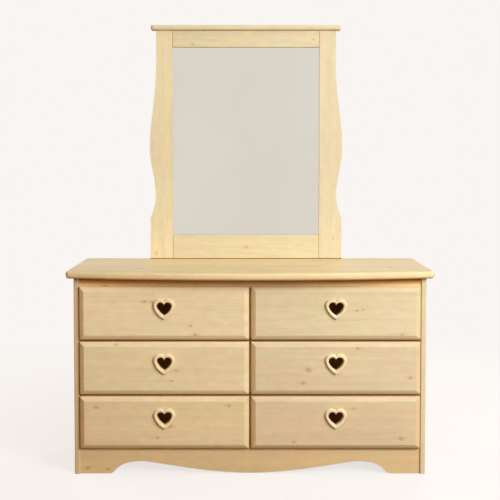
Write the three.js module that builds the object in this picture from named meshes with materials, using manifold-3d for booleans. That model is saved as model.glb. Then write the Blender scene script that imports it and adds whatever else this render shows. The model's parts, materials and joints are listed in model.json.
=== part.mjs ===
// A six-drawer pine dresser with a framed mirror standing on its top.
// Millimetres, +Z up, front towards -Y, origin on the floor under the middle of the whole piece.
import * as THREE from 'three';
import { mergeVertices } from 'three/addons/utils/BufferGeometryUtils.js';
import Module from 'manifold-3d';

const wasm = await Module();
wasm.setup();

// Clearances
const glueGap = 0.2; // between two faces that are glued or screwed together
const slideGap = 0.3; // under a drawer, and behind its closed front
const guideSideGap = 0.6; // each side of a centre guide in the notch of a drawer back
const cutOverrun = 4; // how far a cutting solid runs past the face it opens

// Case
const caseWidth = 1320;
const caseDepth = 381;
const sideThickness = 20;
const sideEdgeRound = 4;
const frontSetback = 5; // rails, apron and partition stand this far behind the sides' front edges
const railThickness = 20;
const partitionThickness = 20;
const partitionFloorGap = 44;
const backThickness = 9;
const backRabbet = 8; // how far the back panel reaches into each side
const backFloorGap = 62;
const tongueLength = 8; // rail ends into the sides
const tongueThickness = 10;
const tongueShoulder = 4; // above and below a tongue
const topTongueHeight = 6; // side panels into the underside of the top
const topTongueInset = 24;

// Heights up the front
const apronReveal = 99; // floor to the lowest drawer front
const frontHeight = 198;
const rowGap = 8;
const topRailReveal = 33; // highest drawer front to the underside of the top
const railLap = 6; // how far a drawer front covers each rail
const rowCount = 3;

// Apron outline
const footWidth = 111; // flat of each foot, measured from the side panel
const archWidth = 123; // from the foot up to the crown of the arch
const archHeight = 47;
const middleDrop = 2.5; // floor to the lowest point of the middle sweep
const archFootShare = 0.785; // pulls of the curves, as shares of the widths that they cross: above the foot,
const archCrownShare = 0.86; // on the foot's side of the crown,
const sweepCrownShare = 0.9; // on its other side
const sweepMiddleShare = 0.424; // and at mid width

// Top
const topThickness = 28;
const topSideOverhang = 26;
const topFrontOverhang = 25; // at the corners
const topBow = 56; // further reach of the front edge at mid width
const topCornerRadius = 16;
const topEdgeRadius = 10;

// Drawer fronts
const frontThickness = 20;
const frontSideGap = 3; // front to side panel
const columnGap = 8;
const bevelWidth = 17;
const bevelDepth = 8;
const frontDadoDepth = 8; // drawer sides into the back of the front
const frontGrooveDepth = 6; // drawer bottom into the back of the front

// Drawer boxes
const boxSideThickness = 12;
const boxBackThickness = 12;
const boxSideClearance = 6; // box to side panel and to partition
const boxHeadroom = 34; // above the box, under the next rail
const boxRearClearance = 12;
const bottomThickness = 5;
const bottomRise = 12; // lower edge of the box to the drawer bottom
const grooveDepth = 6;

// Centre guides under the drawers
const guideWidth = 40;
const guideRise = 8; // above the rail that the drawer runs on
const guideDepth = 15; // below it
const guideTenonLength = 8;
const guideTenonHeight = 9;
const guideRearTenon = 5;

// Heart pulls: lobes and sides are arcs, first the finger hole, then the outer edge of the ring
const heartRise = 28; // middle of the front to the line through the lobe centres
const holeLobeSpread = 13.2;
const holeLobeRadius = 14.2;
const holeSideRadius = 54;
const holeSideLean = THREE.MathUtils.degToRad(22);
const ringLobeSpread = 16.5;
const ringLobeRadius = 24;
const ringLobeRise = 3.8;
const ringSideRadius = 75;
const ringSideLean = THREE.MathUtils.degToRad(15);
const ringProud = 8;
const ringShoulder = 2.5;
const ringSleeveDepth = 14;
const ringSleeveShare = 0.26; // of the ring's width, taken by the sleeve that lines the hole

// Mirror
const mirrorOffset = -15; // from the middle of the case, so to its left
const mirrorOpeningWidth = 607;
const mirrorOpeningHeight = 777;
const mirrorBottomRail = 99;
const mirrorTopRail = 68;
const mirrorFrameThickness = 20;
const stileTopWidth = 67.2;
const stileBellyWidth = 95;
const stileWaistWidth = 70.5;
const stileBaseWidth = 93.3;
const stileBaseShare = 0.178; // heights up the frame, as shares of its own height
const stileWaistShare = 0.281;
const stileBellyShare = 0.487;
const stileNeckShare = 0.891;
const mirrorLipThickness = 10; // wood in front of the glass
const mirrorRabbet = 8; // how far the pocket for the glass reaches into the frame
const glassThickness = 4;
const glassEdgeGap = 0.8;
const backingThickness = 3;
const mirrorTenonLength = 25;
const mirrorTenonThickness = 6;
const mirrorTenonShoulder = 14;
const capThickness = 22;
const capSideOverhang = 21.5;
const capFrontOverhang = 12;
const capCornerRadius = 12;
const capEdgeRadius = 8;

// Supports that hold the mirror to the back of the case
const supportWidth = 60;
const supportThickness = 18;
const supportDrop = 360; // below the top's upper face
const supportReach = 700; // above it
const supportEdgeRound = 3;

// Curve steps
const bowSteps = 32;
const cornerSteps = 8;
const edgeSteps = 6;
const lobeSteps = 10;
const heartSideSteps = 6;
const beadSteps = 6;
const outlineSteps = 18;
const weldDistance = 1e-4;

// Derived places
const surfaceHeight = apronReveal + rowCount * frontHeight + (rowCount - 1) * rowGap + topRailReveal
  + topThickness;
const underTop = surfaceHeight - topThickness;
const railHeight = rowGap + 2 * railLap;
const apronHeight = apronReveal + railLap;
const halfCase = caseWidth / 2;
const halfInner = halfCase - sideThickness;
const overallDepth = topBow + topFrontOverhang + caseDepth + glueGap + supportThickness;
const caseFront = topBow + topFrontOverhang - overallDepth / 2;
const caseBack = caseFront + caseDepth;
const railFront = caseFront + frontSetback;
const railBack = railFront + railThickness;
const backInside = caseBack - backThickness;
const bayWidth = halfInner - partitionThickness / 2;
const bayCentre = partitionThickness / 2 + bayWidth / 2;
const frontWidth = halfInner - frontSideGap - columnGap / 2;
const frontCentre = columnGap / 2 + frontWidth / 2;
const boxWidth = bayWidth - 2 * boxSideClearance;
const boxLength = caseDepth - frontSetback - backThickness - boxRearClearance;
const boxHeight = frontHeight - 2 * railLap - boxHeadroom;
const frameHeight = mirrorBottomRail + mirrorOpeningHeight + mirrorTopRail;
const halfOpening = mirrorOpeningWidth / 2;

// Materials
const finish = (name, color, roughness, metalness = 0) => new THREE.MeshStandardMaterial({
  name,
  color,
  roughness,
  metalness,
});
const pineFront = finish('pine_front', 0xe4c998, 0.42);
const pineTop = finish('pine_top', 0xe9cfa0, 0.38);
const pineFrame = finish('pine_frame', 0xe6cc9b, 0.42);
const pineEdge = finish('pine_edge', 0xefdcb4, 0.4);
const pineInside = finish('pine_inside', 0xe0c79c, 0.6);
const plywood = finish('plywood', 0xcfb083, 0.7);
const hardboard = finish('hardboard', 0x8a6344, 0.8);
const silvered = finish('silvered', 0xe4e2dc, 0.03, 1);

// Solids
function solidOf(geometry) {
  const loose = geometry.index ? geometry.toNonIndexed() : geometry;
  const bare = new THREE.BufferGeometry().setAttribute('position', loose.getAttribute('position'));
  const welded = mergeVertices(bare, weldDistance);
  return new wasm.Manifold(new wasm.Mesh({
    numProp: 3,
    vertProperties: welded.getAttribute('position').array,
    triVerts: new Uint32Array(welded.index.array),
  }));
}

function geometryOf(solid) {
  const { numProp, vertProperties, triVerts } = solid.getMesh();
  const points = new Float32Array((vertProperties.length / numProp) * 3);
  for (let i = 0; i < points.length / 3; i++) {
    points.set(vertProperties.subarray(i * numProp, i * numProp + 3), i * 3);
  }
  const indexed = new THREE.BufferGeometry()
    .setAttribute('position', new THREE.BufferAttribute(points, 3))
    .setIndex(new THREE.BufferAttribute(triVerts, 1));
  const faceted = indexed.toNonIndexed();
  faceted.computeVertexNormals();
  return faceted;
}

const cut = (geometry, ...tools) => geometryOf(
  tools.reduce((solid, tool) => solid.subtract(solidOf(tool)), solidOf(geometry)),
);

const join = (geometry, ...others) => geometryOf(
  others.reduce((solid, other) => solid.add(solidOf(other)), solidOf(geometry)),
);

// A box between two corners.
function block([x0, y0, z0], [x1, y1, z1]) {
  return new THREE.BoxGeometry(x1 - x0, y1 - y0, z1 - z0)
    .translate((x0 + x1) / 2, (y0 + y1) / 2, (z0 + z1) / 2);
}

// A skin over rings of points that all have the same count. Rings run anticlockwise seen from the last
// ring's side. Open stacks are capped at both ends, and closed ones join the last ring to the first.
function loft(rings, closed = false) {
  const count = rings[0].length;
  const points = rings.flat();
  const faces = [];
  const bands = closed ? rings.length : rings.length - 1;
  for (let r = 0; r < bands; r++) {
    const next = (r + 1) % rings.length;
    for (let i = 0; i < count; i++) {
      const j = (i + 1) % count;
      const [a, b, c, d] = [r * count + i, r * count + j, next * count + j, next * count + i];
      faces.push(a, b, c, a, c, d);
    }
  }
  if (!closed) {
    const flat = rings[0].map(([x, y]) => new THREE.Vector2(x, y));
    const last = (rings.length - 1) * count;
    for (const [a, b, c] of THREE.ShapeUtils.triangulateShape(flat, [])) {
      faces.push(c, b, a, last + a, last + b, last + c);
    }
  }
  return new THREE.BufferGeometry()
    .setAttribute('position', new THREE.Float32BufferAttribute(points.flat(), 3))
    .setIndex(faces);
}

// An outline drawn in X and Z, as a board whose front face is at y = 0 and whose back is at its thickness.
function standingBoard(shape, thickness) {
  const settings = { depth: thickness, bevelEnabled: false, curveSegments: outlineSteps };
  return new THREE.ExtrudeGeometry(shape, settings).rotateX(Math.PI / 2).translate(0, thickness, 0);
}

function polygon(points) {
  return new THREE.Shape(points.map(([x, y]) => new THREE.Vector2(x, y)));
}

function node(name, geometry, material, x = 0, y = 0, z = 0) {
  const mesh = new THREE.Mesh(geometry, material);
  mesh.name = name;
  mesh.position.set(x, y, z);
  return mesh;
}

// Points of an arc in the plane, from one angle to another, both included.
function arc(x, y, radius, from, to, steps) {
  return Array.from({ length: steps + 1 }, (_, i) => {
    const angle = from + ((to - from) * i) / steps;
    return [x + radius * Math.cos(angle), y + radius * Math.sin(angle)];
  });
}

// Plan of a top or cap: straight back at y = 0, square back corners, round front corners, and a front edge
// that bows forward. Inset draws in the front and the ends, for a rounded edge.
function slabPlan(width, depth, bow, cornerRadius, inset) {
  const half = width / 2 - inset;
  const radius = cornerRadius - inset;
  const front = -(depth - inset);
  const corner = half - radius;
  const right = arc(corner, front + radius, radius, 0, -Math.PI / 2, cornerSteps);
  const left = arc(-corner, front + radius, radius, -Math.PI / 2, -Math.PI, cornerSteps);
  const edge = [];
  for (let i = 1; i < bowSteps && bow > 0; i++) {
    const share = 1 - (2 * i) / bowSteps;
    edge.push([corner * share, front - bow * (1 - share * share)]);
  }
  return [[half, 0], ...right, ...edge, ...left, [-half, 0]].reverse();
}

// A slab with rounded front and end edges, its underside at z = 0.
function roundedSlab(width, depth, thickness, bow, cornerRadius, edgeRadius) {
  const ring = (inset, z) => slabPlan(width, depth, bow, cornerRadius, inset).map(([x, y]) => [x, y, z]);
  const rings = [];
  for (let i = 0; i <= edgeSteps; i++) {
    const angle = (Math.PI / 2) * (i / edgeSteps);
    rings.push(ring(edgeRadius * (1 - Math.sin(angle)), edgeRadius * (1 - Math.cos(angle))));
  }
  for (let i = edgeSteps; i >= 0; i--) {
    const angle = (Math.PI / 2) * (i / edgeSteps);
    rings.push(ring(edgeRadius * (1 - Math.sin(angle)), thickness - edgeRadius * (1 - Math.cos(angle))));
  }
  return loft(rings);
}

// Heart outline, point at the bottom, between the finger hole (share 0) and the ring's outer edge (share 1).
function heart(share) {
  const mix = (a, b) => a + (b - a) * share;
  const spread = mix(holeLobeSpread, ringLobeSpread);
  const radius = mix(holeLobeRadius, ringLobeRadius);
  const rise = mix(0, ringLobeRise);
  const sideRadius = mix(holeSideRadius, ringSideRadius);
  const lean = -mix(holeSideLean, ringSideLean);
  const notch = Math.PI - Math.acos(spread / radius);
  const lobe = arc(spread, rise, radius, notch, lean, lobeSteps);
  const sideX = spread - (sideRadius - radius) * Math.cos(lean);
  const sideZ = rise - (sideRadius - radius) * Math.sin(lean);
  const tip = -Math.acos(-sideX / sideRadius);
  const side = arc(sideX, sideZ, sideRadius, lean, tip, heartSideSteps);
  const right = [...lobe, ...side.slice(1)];
  const left = right.slice(1, -1).reverse().map(([x, z]) => [-x, z]);
  return [...right, ...left];
}

// Case pieces

// Front rail height and place of a row's lower rail. Row 0 is the lowest, and rests on the apron.
const rowFloor = (row) => apronHeight + row * (frontHeight + rowGap);
const railCentres = Array.from({ length: rowCount - 1 }, (_, i) => rowFloor(i + 1) - railHeight / 2);

function tongues(length, height) {
  const inset = (railThickness - tongueThickness) / 2;
  const reach = length / 2 + tongueLength;
  return block([-reach, inset, tongueShoulder], [reach, railThickness - inset, height - tongueShoulder]);
}

// Mortise for the end of a rail, in the frame of a right-hand side panel, whose inner face is at x = 0.
function railMortise(bottom, height) {
  const inset = (railThickness - tongueThickness) / 2;
  const [front, back] = [frontSetback + inset - glueGap, frontSetback + railThickness - inset + glueGap];
  const [low, high] = [bottom + tongueShoulder - glueGap, bottom + height - tongueShoulder + glueGap];
  return block([-cutOverrun, front, low], [tongueLength + glueGap, back, high]);
}

function sidePanel() {
  const round = sideEdgeRound;
  const plan = [
    ...arc(round, round, round, Math.PI, 1.5 * Math.PI, cornerSteps),
    ...arc(sideThickness - round, round, round, -Math.PI / 2, 0, cornerSteps),
    [sideThickness, caseDepth],
    [backRabbet, caseDepth],
    [backRabbet, caseDepth - backThickness - glueGap],
    [0, caseDepth - backThickness - glueGap],
  ];
  const height = underTop - glueGap;
  const board = loft([plan.map(([x, y]) => [x, y, 0]), plan.map(([x, y]) => [x, y, height])]);
  const inset = (sideThickness - tongueThickness) / 2;
  const tongue = block(
    [inset, topTongueInset, height - cutOverrun],
    [sideThickness - inset, caseDepth - topTongueInset, height + topTongueHeight],
  );
  return cut(
    join(board, tongue),
    railMortise(0, apronHeight),
    ...railCentres.map((centre) => railMortise(centre - railHeight / 2, railHeight)),
    railMortise(topRailBottom, topRailHeight),
  );
}

const topRailBottom = underTop - topRailReveal - railLap;
const topRailHeight = topRailReveal + railLap - glueGap;
const railLength = 2 * (halfInner - glueGap);

// Pocket in the back of a rail or apron for the front tenon of a centre guide.
function guidePocket(x, railTop) {
  const half = guideWidth / 2 + glueGap;
  const middle = railTop - railHeight / 2;
  const reach = guideTenonHeight / 2 + glueGap;
  return block(
    [x - half, railThickness - guideTenonLength - glueGap, middle - reach],
    [x + half, railThickness + cutOverrun, middle + reach],
  );
}

function dividerRail() {
  const bar = block([-railLength / 2, 0, 0], [railLength / 2, railThickness, railHeight]);
  return cut(
    join(bar, tongues(railLength, railHeight)),
    guidePocket(-bayCentre, railHeight),
    guidePocket(bayCentre, railHeight),
  );
}

function topRail() {
  const bar = block([-railLength / 2, 0, 0], [railLength / 2, railThickness, topRailHeight]);
  return join(bar, tongues(railLength, topRailHeight));
}

// The apron's outline: its lower edge rises from each foot to an arch and sweeps down to the middle.
function apronShape() {
  const half = railLength / 2;
  const toe = half - footWidth;
  const crown = toe - archWidth;
  const [outer, inner] = [crown + archWidth * archFootShare, crown + archWidth * archCrownShare];
  const [sweepOut, sweepIn] = [crown * sweepCrownShare, crown * sweepMiddleShare];
  const shape = new THREE.Shape();
  shape.moveTo(half, 0);
  shape.lineTo(half, apronHeight);
  shape.lineTo(-half, apronHeight);
  shape.lineTo(-half, 0);
  shape.lineTo(-toe, 0);
  shape.bezierCurveTo(-outer, 0, -inner, archHeight, -crown, archHeight);
  shape.bezierCurveTo(-sweepOut, archHeight, -sweepIn, middleDrop, 0, middleDrop);
  shape.bezierCurveTo(sweepIn, middleDrop, sweepOut, archHeight, crown, archHeight);
  shape.bezierCurveTo(inner, archHeight, outer, 0, toe, 0);
  return shape;
}

function apron() {
  const reach = railLength / 2 + tongueLength;
  const inset = (railThickness - tongueThickness) / 2;
  const tongueAt = (from, to) => block(
    [from, inset, tongueShoulder],
    [to, railThickness - inset, apronHeight - tongueShoulder],
  );
  return cut(
    join(
      standingBoard(apronShape(), railThickness),
      tongueAt(-reach, -reach + footWidth),
      tongueAt(reach - footWidth, reach),
    ),
    guidePocket(-bayCentre, apronHeight),
    guidePocket(bayCentre, apronHeight),
  );
}

// The partition's outline in Y and Z: it is notched round every rail, and stands behind the apron.
function partition() {
  const back = backInside - railFront - glueGap;
  const notch = railThickness + glueGap;
  const outline = [[notch, partitionFloorGap]];
  outline.push([back, partitionFloorGap], [back, underTop - glueGap], [notch, underTop - glueGap]);
  outline.push([notch, topRailBottom - glueGap], [0, topRailBottom - glueGap]);
  for (const centre of [...railCentres].reverse()) {
    const [low, high] = [centre - railHeight / 2 - glueGap, centre + railHeight / 2 + glueGap];
    outline.push([0, high], [notch, high], [notch, low], [0, low]);
  }
  outline.push([0, apronHeight + glueGap], [notch, apronHeight + glueGap]);
  return new THREE.ExtrudeGeometry(polygon(outline), { depth: partitionThickness, bevelEnabled: false })
    .rotateX(Math.PI / 2)
    .rotateZ(Math.PI / 2)
    .translate(-partitionThickness / 2, 0, 0);
}

function backPanel() {
  const half = halfInner + backRabbet - glueGap;
  const panel = block([-half, 0, backFloorGap], [half, backThickness, underTop - glueGap]);
  const pockets = [];
  for (let row = 0; row < rowCount; row++) {
    for (const x of [-bayCentre, bayCentre]) {
      const middle = rowFloor(row) - railHeight / 2;
      const reach = guideTenonHeight / 2 + glueGap;
      pockets.push(block(
        [x - guideWidth / 2 - glueGap, -cutOverrun, middle - reach],
        [x + guideWidth / 2 + glueGap, guideRearTenon + glueGap, middle + reach],
      ));
    }
  }
  return cut(panel, ...pockets);
}

function topPanel() {
  const [width, depth] = [caseWidth + 2 * topSideOverhang, caseDepth + topFrontOverhang];
  const slab = roundedSlab(width, depth, topThickness, topBow, topCornerRadius, topEdgeRadius);
  const inset = (sideThickness - tongueThickness) / 2;
  const groove = (inner) => block(
    [inner + inset - glueGap, -caseDepth + topTongueInset - glueGap, -cutOverrun],
    [inner + sideThickness - inset + glueGap, -topTongueInset + glueGap, topTongueHeight + glueGap],
  );
  return cut(slab, groove(halfInner), groove(-halfCase));
}

// A centre guide. Its middle is at x = 0, the face of the rail behind which it starts is at y = 0, and the
// top of that rail is at z = 0.
function guide() {
  const length = backInside - railBack - 2 * glueGap;
  const half = guideWidth / 2;
  const middle = -railHeight / 2;
  const body = block([-half, glueGap, -guideDepth], [half, glueGap + length, guideRise]);
  const tenon = block(
    [-half, -guideTenonLength, middle - guideTenonHeight / 2],
    [half, length + 2 * glueGap + guideRearTenon, middle + guideTenonHeight / 2],
  );
  return join(body, tenon);
}

// Drawer pieces, in the drawer's own frame: x = 0 in the middle of the box, y = 0 on the back of the front,
// z = 0 on the lower edges of the box sides.

const groovesForBottom = (reachX, frontY, backY) => block(
  [-reachX, frontY, bottomRise],
  [reachX, backY, bottomRise + bottomThickness + 2 * glueGap],
);
const innerHalf = boxWidth / 2 - boxSideThickness;
const boxBackFront = boxLength - boxBackThickness;

function heartPrism(share, depth) {
  const ring = heart(share);
  return loft([
    [...ring].reverse().map(([x, z]) => [x, z, -cutOverrun]),
    [...ring].reverse().map(([x, z]) => [x, z, depth + cutOverrun]),
  ]).rotateX(Math.PI / 2);
}

const frontBottom = -railLap - slideGap;
const heartHeight = frontBottom + frontHeight / 2 + heartRise;

function drawerFront(shift) {
  const ring = (inset, depth) => {
    const [x, z] = [frontWidth / 2 - inset, frontHeight / 2 - inset];
    return [[-x, -z, depth], [x, -z, depth], [x, z, depth], [-x, z, depth]];
  };
  const board = loft([ring(0, 0), ring(0, frontThickness - bevelDepth), ring(bevelWidth, frontThickness)])
    .rotateX(Math.PI / 2)
    .translate(shift, 0, frontBottom + frontHeight / 2);
  const ringWidth = ringLobeSpread + ringLobeRadius - holeLobeSpread - holeLobeRadius;
  const hole = heartPrism(ringSleeveShare + glueGap / ringWidth, frontThickness)
    .translate(shift, 0, heartHeight);
  const dado = (x) => block(
    [x - boxSideThickness / 2 - glueGap, -frontDadoDepth - glueGap, -glueGap],
    [x + boxSideThickness / 2 + glueGap, cutOverrun, boxHeight + glueGap],
  );
  const sideX = boxWidth / 2 - boxSideThickness / 2;
  const groove = groovesForBottom(innerHalf + grooveDepth, -frontGrooveDepth - glueGap, cutOverrun);
  return cut(board, hole, dado(-sideX), dado(sideX), groove);
}

// The ring stands on the front as a rounded bead, and its sleeve lines the hole.
function heartRing() {
  const section = [];
  for (let i = 0; i <= beadSteps; i++) {
    const angle = (Math.PI * i) / beadSteps;
    section.push([(1 - Math.cos(angle)) / 2, ringShoulder + (ringProud - ringShoulder) * Math.sin(angle)]);
  }
  section.push([1, glueGap], [ringSleeveShare, glueGap]);
  section.push([ringSleeveShare, -ringSleeveDepth], [0, -ringSleeveDepth]);
  const rings = section.map(([share, proud]) => heart(share).map(([x, z]) => [x, -proud, z]));
  return loft(rings, true);
}

function boxSide(hand) {
  const front = -frontDadoDepth;
  const board = block([0, front, 0], [boxSideThickness, boxLength, boxHeight]);
  const groove = block(
    [-cutOverrun, front - cutOverrun, bottomRise],
    [grooveDepth, boxLength - boxBackThickness / 2, bottomRise + bottomThickness + 2 * glueGap],
  );
  const dado = block(
    [-cutOverrun, boxBackFront - boxBackThickness - glueGap, -cutOverrun],
    [grooveDepth, boxBackFront + glueGap, boxHeight + cutOverrun],
  );
  return mirrored(cut(board, groove, dado), hand);
}

// The same solid, or its mirror image in X with its faces turned back out.
function mirrored(geometry, hand) {
  if (hand > 0) return geometry;
  const flipped = geometry.clone().scale(-1, 1, 1);
  const points = flipped.getAttribute('position');
  for (let i = 0; i < points.count; i += 3) {
    const [bx, by, bz] = [points.getX(i + 1), points.getY(i + 1), points.getZ(i + 1)];
    points.setXYZ(i + 1, points.getX(i + 2), points.getY(i + 2), points.getZ(i + 2));
    points.setXYZ(i + 2, bx, by, bz);
  }
  flipped.computeVertexNormals();
  return flipped;
}

// The drawer back stands in dadoes of the sides, and is notched to ride on the centre guide.
function boxBack() {
  const half = innerHalf + grooveDepth - glueGap;
  const board = block([-half, boxBackFront - boxBackThickness, 0], [half, boxBackFront, boxHeight]);
  const notchHalf = guideWidth / 2 + guideSideGap;
  const notch = block(
    [-notchHalf, boxBackFront - boxBackThickness - cutOverrun, -cutOverrun],
    [notchHalf, boxBackFront + cutOverrun, guideRise],
  );
  const groove = groovesForBottom(
    half + cutOverrun, boxBackFront - boxBackThickness - cutOverrun, boxBackFront - boxBackThickness / 2,
  );
  return cut(board, notch, groove);
}

function boxBottom() {
  const half = innerHalf + grooveDepth - glueGap;
  return block(
    [-half, -frontGrooveDepth, bottomRise + glueGap],
    [half, boxBackFront - boxBackThickness / 2 - glueGap, bottomRise + glueGap + bottomThickness],
  );
}

function drawer(name, hand, floor) {
  const group = new THREE.Group();
  const shift = hand * (frontCentre - bayCentre);
  const sideX = boxWidth / 2 - boxSideThickness;
  group.add(
    node(`${name}_front`, drawerFront(shift), pineFront),
    node(`${name}_heart_pull`, heartRing(), pineEdge, shift, -frontThickness, heartHeight),
    node(`${name}_side_left`, boxSide(-1), pineInside, -sideX),
    node(`${name}_side_right`, boxSide(1), pineInside, sideX),
    node(`${name}_back`, boxBack(), pineInside),
    node(`${name}_bottom`, boxBottom(), plywood),
  );
  group.position.set(hand * bayCentre, railFront - slideGap, floor + slideGap);
  return group;
}

// Mirror pieces, in the frame of the mirror: x = 0 in the middle, y = 0 on the face of the frame, z = 0 on
// its lower edge.

const frameOutline = (share) => share * frameHeight;

function stileShape() {
  const [base, waist, belly, neck] = [stileBaseWidth, stileWaistWidth, stileBellyWidth, stileTopWidth];
  const [baseZ, waistZ, bellyZ, neckZ] = [stileBaseShare, stileWaistShare, stileBellyShare, stileNeckShare]
    .map(frameOutline);
  const pull = (from, to, share) => from + (to - from) * share;
  const shape = new THREE.Shape();
  shape.moveTo(0, 0);
  shape.lineTo(base, 0);
  shape.lineTo(base, baseZ);
  shape.bezierCurveTo(
    pull(base, waist, baseCurveShare), pull(baseZ, waistZ, baseRiseShare),
    waist, pull(baseZ, waistZ, waistPullShare), waist, waistZ,
  );
  shape.bezierCurveTo(
    waist, pull(waistZ, bellyZ, bellyPullShare), belly, pull(bellyZ, waistZ, bellyPullShare), belly, bellyZ,
  );
  shape.bezierCurveTo(
    belly, pull(bellyZ, neckZ, shoulderPullShare), neck, pull(neckZ, bellyZ, neckPullShare), neck, neckZ,
  );
  shape.lineTo(neck, frameHeight);
  shape.lineTo(0, frameHeight);
  return shape;
}

const baseCurveShare = 0.37;
const baseRiseShare = 0.25;
const waistPullShare = 0.59;
const bellyPullShare = 0.385;
const shoulderPullShare = 0.315;
const neckPullShare = 0.5;

// The pocket that the glass and its backing lie in, open at the back of the frame.
function glassPocket() {
  const half = halfOpening + mirrorRabbet;
  return block(
    [-half, mirrorLipThickness, mirrorBottomRail - mirrorRabbet],
    [half, mirrorFrameThickness + cutOverrun, mirrorBottomRail + mirrorOpeningHeight + mirrorRabbet],
  );
}

// A tenon on one end of a frame rail, or the mortise for it when the slack is above zero.
function mirrorTenon(bottom, height, slack) {
  const inset = (mirrorLipThickness - mirrorTenonThickness) / 2;
  return block(
    [halfOpening - cutOverrun, inset - slack, bottom + mirrorTenonShoulder - slack],
    [halfOpening + mirrorTenonLength + slack, inset + mirrorTenonThickness + slack,
      bottom + height - mirrorTenonShoulder + slack],
  );
}

const topRailZ = mirrorBottomRail + mirrorOpeningHeight;

function stile(hand) {
  const board = standingBoard(stileShape(), mirrorFrameThickness).translate(halfOpening, 0, 0);
  const made = cut(
    board,
    glassPocket(),
    mirrorTenon(0, mirrorBottomRail, glueGap),
    mirrorTenon(topRailZ, mirrorTopRail, glueGap),
  );
  return mirrored(made, hand);
}

function mirrorRail(bottom, height) {
  const half = halfOpening - glueGap;
  const board = block([-half, 0, bottom], [half, mirrorFrameThickness, bottom + height]);
  const tenon = mirrorTenon(bottom, height, 0);
  const both = join(board, tenon, mirrored(tenon.toNonIndexed(), -1));
  return cut(both, glassPocket());
}

function glassSheet(front, thickness) {
  const half = halfOpening + mirrorRabbet - glassEdgeGap;
  return block(
    [-half, front, mirrorBottomRail - mirrorRabbet + glassEdgeGap],
    [half, front + thickness, mirrorBottomRail + mirrorOpeningHeight + mirrorRabbet - glassEdgeGap],
  );
}

function mirrorCap() {
  const width = 2 * (halfOpening + stileTopWidth + capSideOverhang);
  const depth = mirrorFrameThickness + capFrontOverhang;
  return roundedSlab(width, depth, capThickness, 0, capCornerRadius, capEdgeRadius);
}

function support() {
  const half = supportWidth / 2;
  const shape = new THREE.Shape();
  const [low, high, round] = [-supportDrop, supportReach, supportEdgeRound];
  shape.moveTo(-half + round, low);
  shape.lineTo(half - round, low);
  shape.lineTo(half, low + round);
  shape.lineTo(half, high - round);
  shape.lineTo(half - round, high);
  shape.lineTo(-half + round, high);
  shape.lineTo(-half, high - round);
  shape.lineTo(-half, low + round);
  return standingBoard(shape, supportThickness);
}

// The whole piece
const dresser = new THREE.Group();

const carcase = new THREE.Group();
carcase.add(
  node('side_panel_right', sidePanel(), pineFrame, halfInner),
  node('side_panel_left', mirrored(sidePanel(), -1), pineFrame, -halfInner),
  node('back_panel', backPanel(), plywood, 0, caseDepth - backThickness),
  node('top_panel', topPanel(), pineTop, 0, caseDepth, underTop),
);
carcase.position.y = caseFront;

const frontFrame = new THREE.Group();
frontFrame.add(
  node('base_apron', apron(), pineFront),
  node('top_front_rail', topRail(), pineFront, 0, 0, topRailBottom),
  node('center_partition', partition(), pineInside),
);
railCentres.forEach((centre, i) => {
  const name = ['divider_rail_lower', 'divider_rail_upper'][i];
  frontFrame.add(node(name, dividerRail(), pineFront, 0, 0, centre - railHeight / 2));
});
frontFrame.position.y = railFront;
dresser.add(carcase, frontFrame);

const rowNames = ['bottom', 'middle', 'top'];
const columns = [['left', -1], ['right', 1]];
rowNames.forEach((row, i) => {
  for (const [column, hand] of columns) {
    dresser.add(
      node(`drawer_guide_${row}_${column}`, guide(), pineInside, hand * bayCentre, railBack, rowFloor(i)),
      drawer(`drawer_${row}_${column}`, hand, rowFloor(i)),
    );
  }
});

const mirror = new THREE.Group();
const glassFront = mirrorLipThickness + glueGap;
mirror.add(
  node('mirror_stile_right', stile(1), pineFrame),
  node('mirror_stile_left', stile(-1), pineFrame),
  node('mirror_bottom_rail', mirrorRail(0, mirrorBottomRail), pineFrame),
  node('mirror_top_rail', mirrorRail(topRailZ, mirrorTopRail), pineFrame),
  node('mirror_cap', mirrorCap(), pineTop, 0, mirrorFrameThickness, frameHeight + glueGap),
  node('mirror_glass', glassSheet(glassFront, glassThickness), silvered),
  node('mirror_backing', glassSheet(glassFront + glassThickness + glueGap, backingThickness), hardboard),
);
mirror.position.set(mirrorOffset, caseBack - mirrorFrameThickness, surfaceHeight + glueGap);
dresser.add(mirror);

const supportReachX = halfOpening + stileTopWidth / 2;
for (const [column, hand] of columns) {
  const x = mirrorOffset + hand * supportReachX;
  dresser.add(node(`mirror_support_${column}`, support(), pineInside, x, caseBack + glueGap, surfaceHeight));
}

export default dresser;
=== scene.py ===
import json
import math
import random
from collections import namedtuple

import bmesh
import bpy
from mathutils import Matrix, Vector

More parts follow.
